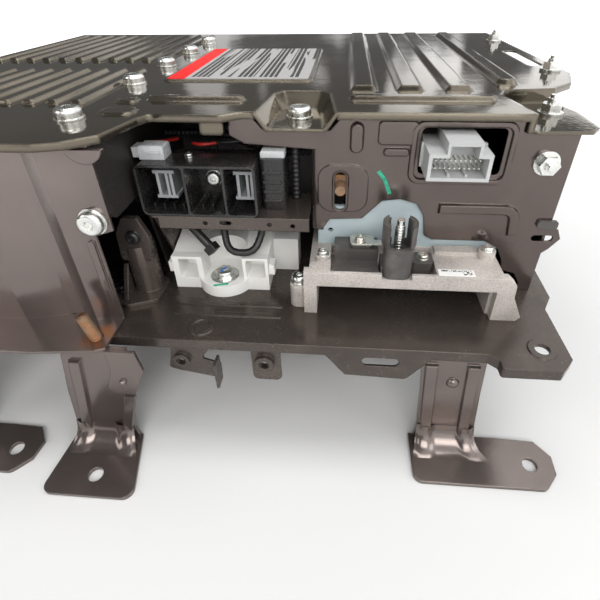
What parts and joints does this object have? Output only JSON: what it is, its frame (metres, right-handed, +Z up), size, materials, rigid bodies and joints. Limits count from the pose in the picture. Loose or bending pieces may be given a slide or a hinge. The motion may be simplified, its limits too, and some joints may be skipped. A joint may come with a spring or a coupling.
{
  "type": "hybrid vehicle battery pack",
  "caption": "Steel-cased hybrid vehicle battery pack on pressed legs, with a ribbed cover, an open socket recess, a connector panel and a cast converter duct.",
  "frame": {"origin": "on the floor under the middle of the pack's overall box, feet resting on it", "axes": "+Z up through the cover, +X to the right along the connector side, -Y out of the connector side"},
  "size_m": [0.48, 0.434, 0.2162],
  "materials": {
    "painted_steel": "satin",
    "dark_steel": "satin",
    "cover_paint": "gloss",
    "zinc": "satin",
    "tinned": "satin",
    "label": "satin",
    "cast_aluminium": "matte",
    "pale_plastic": "matte",
    "light_plastic": "satin",
    "grey_plastic": "satin",
    "black_plastic": "satin",
    "black_rubber": "matte",
    "copper": "satin",
    "cell_case": "matte"
  },
  "bodies": {
    "root": {"base_tray": "painted_steel", "left_wall": "painted_steel", "recess_side": "dark_steel", "recess_rear": "dark_steel", "front_panel": "painted_steel", "right_end": "painted_steel", "left_end": "painted_steel", "rear_wall": "painted_steel", "top_cover": "cover_paint", "cover_bolts": "zinc", "cover_studs": "zinc", "cover_label": "label", "cast_bridge": "cast_aluminium", "bridge_bolt": "zinc", "insulating_plate": "pale_plastic", "converter_screws": "zinc", "terminal_block": "black_plastic", "stud_collar": "black_plastic", "output_stud": "zinc", "busbar_clip": "zinc", "converter_sticker": "label", "socket_box": "black_plastic", "socket_inserts": "grey_plastic", "socket_screws": "zinc", "relay_housing": "black_plastic", "socket_bracket": "dark_steel", "silver_connector": "grey_plastic", "grey_plug": "grey_plastic", "conduits": "black_rubber", "two_port_connector": "light_plastic", "port_bolt": "zinc", "cable_loop": "black_rubber", "plug_lead": "black_rubber", "side_bracket": "dark_steel", "bracket_bolts": "zinc", "signal_connector": "light_plastic", "connector_pins": "tinned", "panel_nut": "zinc", "slot_screw": "zinc", "wall_bolt": "zinc", "flange_stud": "zinc", "grommet": "black_rubber", "front_right_leg": "painted_steel", "front_left_leg": "painted_steel", "far_left_leg": "painted_steel", "rear_right_leg": "painted_steel", "rear_left_leg": "painted_steel", "leg_tab": "painted_steel", "hook_bracket": "painted_steel", "weld_nut_tab": "painted_steel", "cells": "cell_case", "end_plates": "dark_steel", "cell_busbars": "copper", "control_unit": "cast_aluminium", "converter_core": "black_plastic"}
  },
  "joints": []
}
